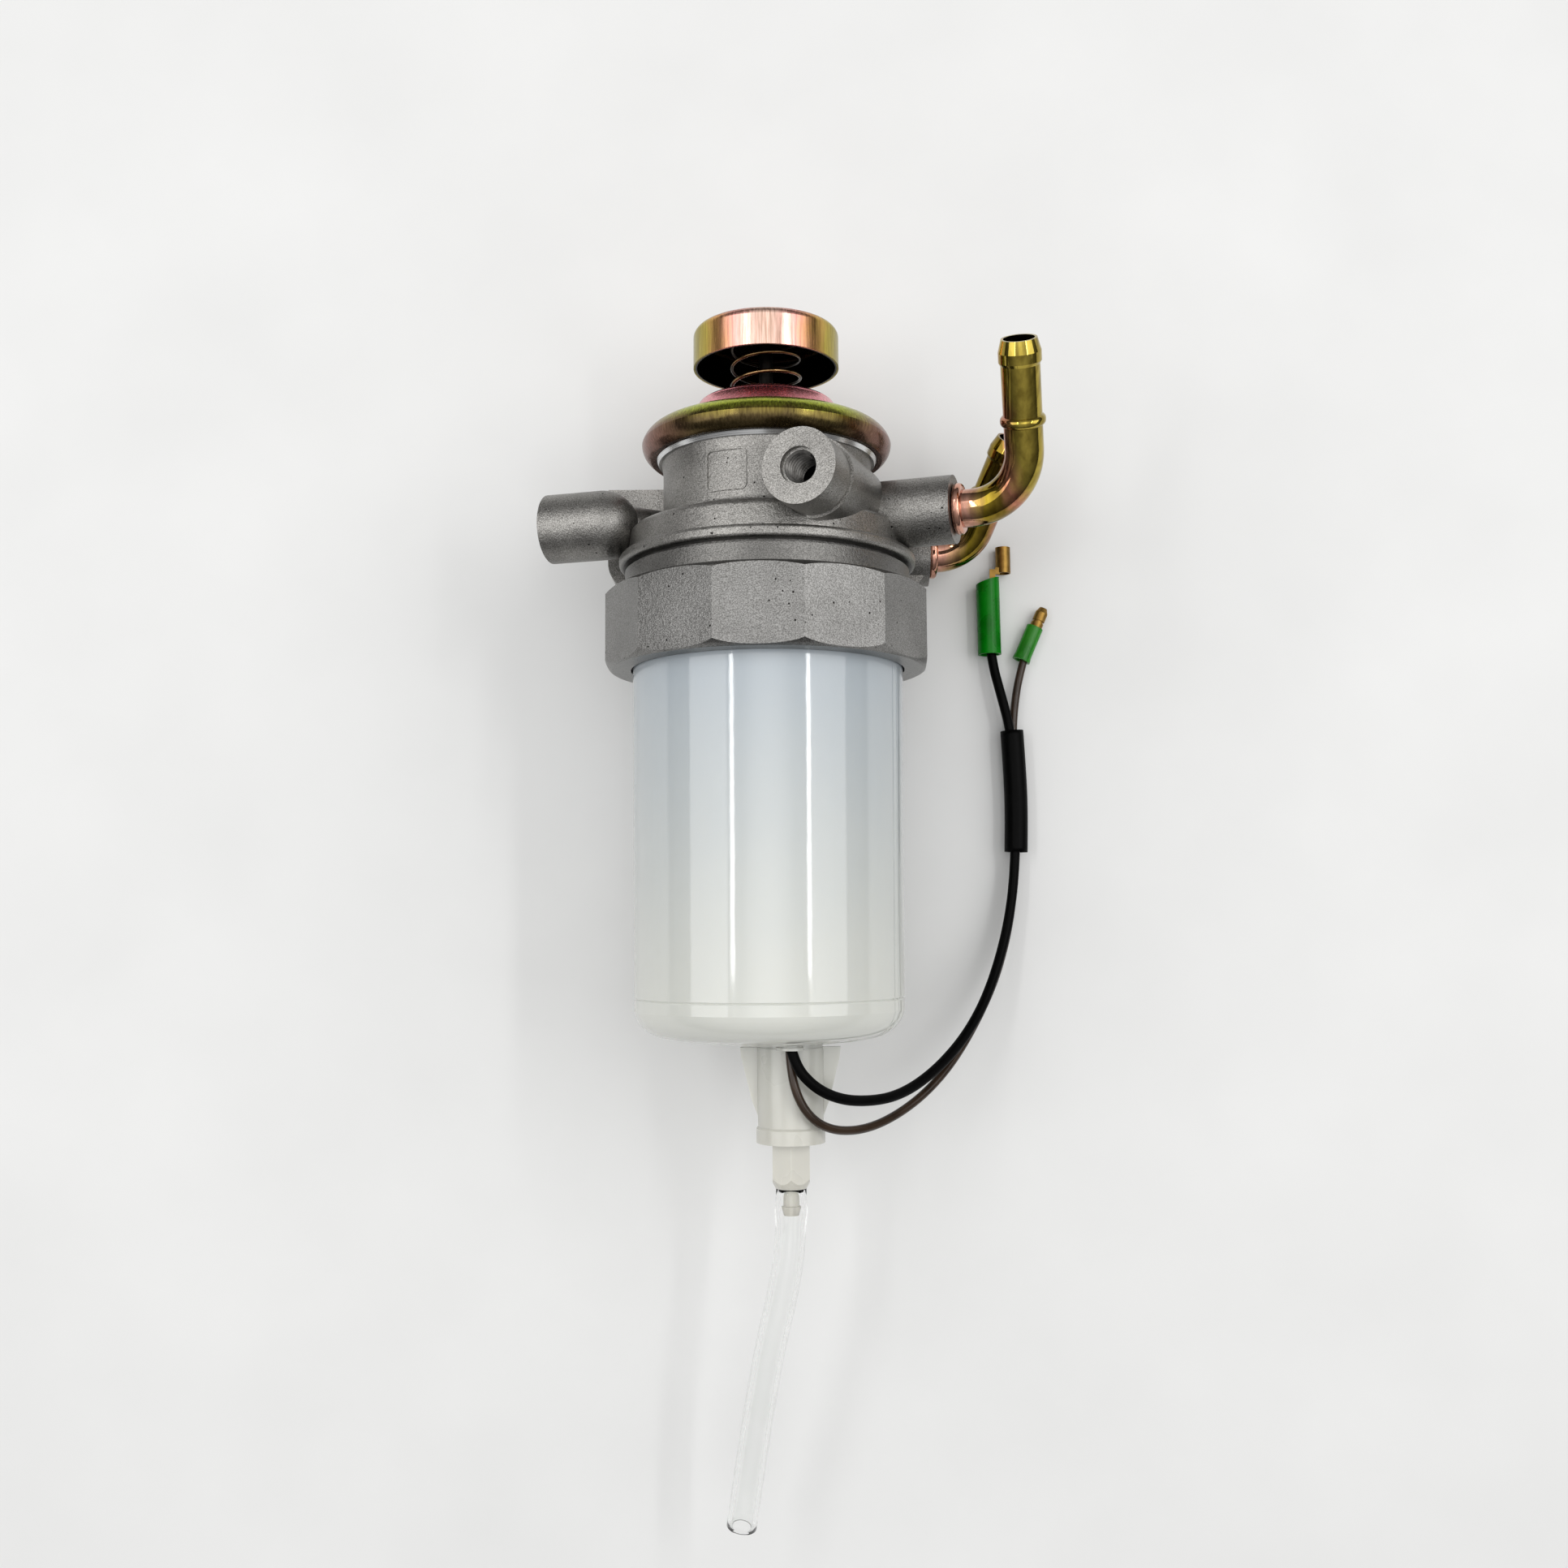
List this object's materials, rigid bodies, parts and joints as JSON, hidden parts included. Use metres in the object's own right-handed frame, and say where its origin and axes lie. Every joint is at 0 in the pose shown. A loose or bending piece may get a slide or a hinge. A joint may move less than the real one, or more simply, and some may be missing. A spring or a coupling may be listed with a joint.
{
  "type": "diesel fuel filter",
  "caption": "Diesel fuel filter and water separator with a hand primer pump, cast head, faceted ring nut, milky bowl, bent pipes, drain hose and sensor leads.",
  "frame": {"origin": "centre of the flat mounting face on the back of the head", "axes": "+Y along the filter axis from the drain towards the primer button, +Z away from the mounting face, +X towards the pipes"},
  "size_m": [0.1537, 0.3443, 0.1011],
  "materials": {
    "cast_aluminium": "grit-blasted casting, matt with fine sparkle",
    "turned_aluminium": "bright turned",
    "milky_nylon": "milky translucent, glossy",
    "white_nylon": "translucent natural nylon",
    "yellow_zinc": "yellow passivated zinc, iridescent",
    "yellow_zinc_pipe": "yellow passivated zinc, glossy iridescent",
    "yellow_zinc_wire": "yellow passivated spring wire",
    "spring_steel": "plain steel",
    "black_rubber": "matt rubber",
    "filter_paper": "resin treated pleated paper",
    "float_foam": "closed-cell float",
    "clear_pvc": "clear flexible tube",
    "black_pvc": "semi-gloss insulation",
    "brown_pvc": "semi-gloss insulation",
    "green_pvc": "translucent green insulator",
    "light_green_pvc": "clear light green insulator",
    "dull_brass": "tarnished brass"
  },
  "bodies": {
    "housing": {"filter_head": "cast_aluminium", "bowl": "milky_nylon", "bowl_gasket": "black_rubber", "valve_plate": "turned_aluminium", "inlet_valve_spring": "spring_steel", "outlet_valve_spring": "spring_steel", "diaphragm": "black_rubber", "pump_cover": "yellow_zinc", "guide_bush": "spring_steel", "button_spring": "yellow_zinc_wire", "upper_pipe": "yellow_zinc_pipe", "rear_pipe": "yellow_zinc_pipe", "element_top_cap": "spring_steel", "element_media": "filter_paper", "element_core": "spring_steel", "element_bottom_cap": "spring_steel", "element_seal": "black_rubber", "element_spring": "spring_steel", "sensor_body": "white_nylon", "sensor_gasket": "white_nylon", "float_clip": "spring_steel", "lead_grommet": "white_nylon", "drain_oring": "black_rubber", "drain_hose": "clear_pvc", "lead_black": "black_pvc", "lead_brown": "brown_pvc", "lead_sleeve": "black_pvc", "female_insulator": "green_pvc", "female_terminal": "dull_brass", "male_insulator": "light_green_pvc", "male_terminal": "dull_brass"},
    "primer": {"primer_button": "yellow_zinc", "push_rod": "spring_steel", "lower_plate": "yellow_zinc", "upper_plate": "yellow_zinc"},
    "nut": {"ring_nut": "cast_aluminium"},
    "float": {"sensor_float": "float_foam"},
    "plug": {"drain_plug": "white_nylon"},
    "inlet_disc": {"inlet_valve": "black_rubber"},
    "outlet_disc": {"outlet_valve": "black_rubber"}
  },
  "joints": [
    {"name": "primer_push", "type": "slide", "parent": "housing", "child": "primer", "axis": [0, -1, 0], "range_m": [0, 0.007], "stiffness_N_per_m": 2500, "springref_m": -0.004, "deforming": ["button_spring", "diaphragm"]},
    {"name": "ring_nut_turn", "type": "hinge", "parent": "housing", "child": "nut", "pos_m": [0, -0.0335, 0.0465], "axis": [0, 1, 0], "range_deg": [0, 720]},
    {"name": "drain_plug_turn", "type": "hinge", "parent": "housing", "child": "plug", "pos_m": [0.0057, -0.1845, 0.0465], "axis": [0, 1, 0], "range_deg": [0, 540]},
    {"name": "float_slide", "type": "slide", "parent": "housing", "child": "float", "axis": [0, 1, 0], "range_m": [0, 0.014]},
    {"name": "inlet_valve_lift", "type": "slide", "parent": "housing", "child": "inlet_disc", "axis": [0, 1, 0], "range_m": [0, 0.0015], "stiffness_N_per_m": 60, "springref_m": -0.0015, "deforming": ["inlet_valve_spring"]},
    {"name": "outlet_valve_drop", "type": "slide", "parent": "housing", "child": "outlet_disc", "axis": [0, -1, 0], "range_m": [0, 0.0015], "stiffness_N_per_m": 60, "springref_m": -0.0015, "deforming": ["outlet_valve_spring"]}
  ]
}
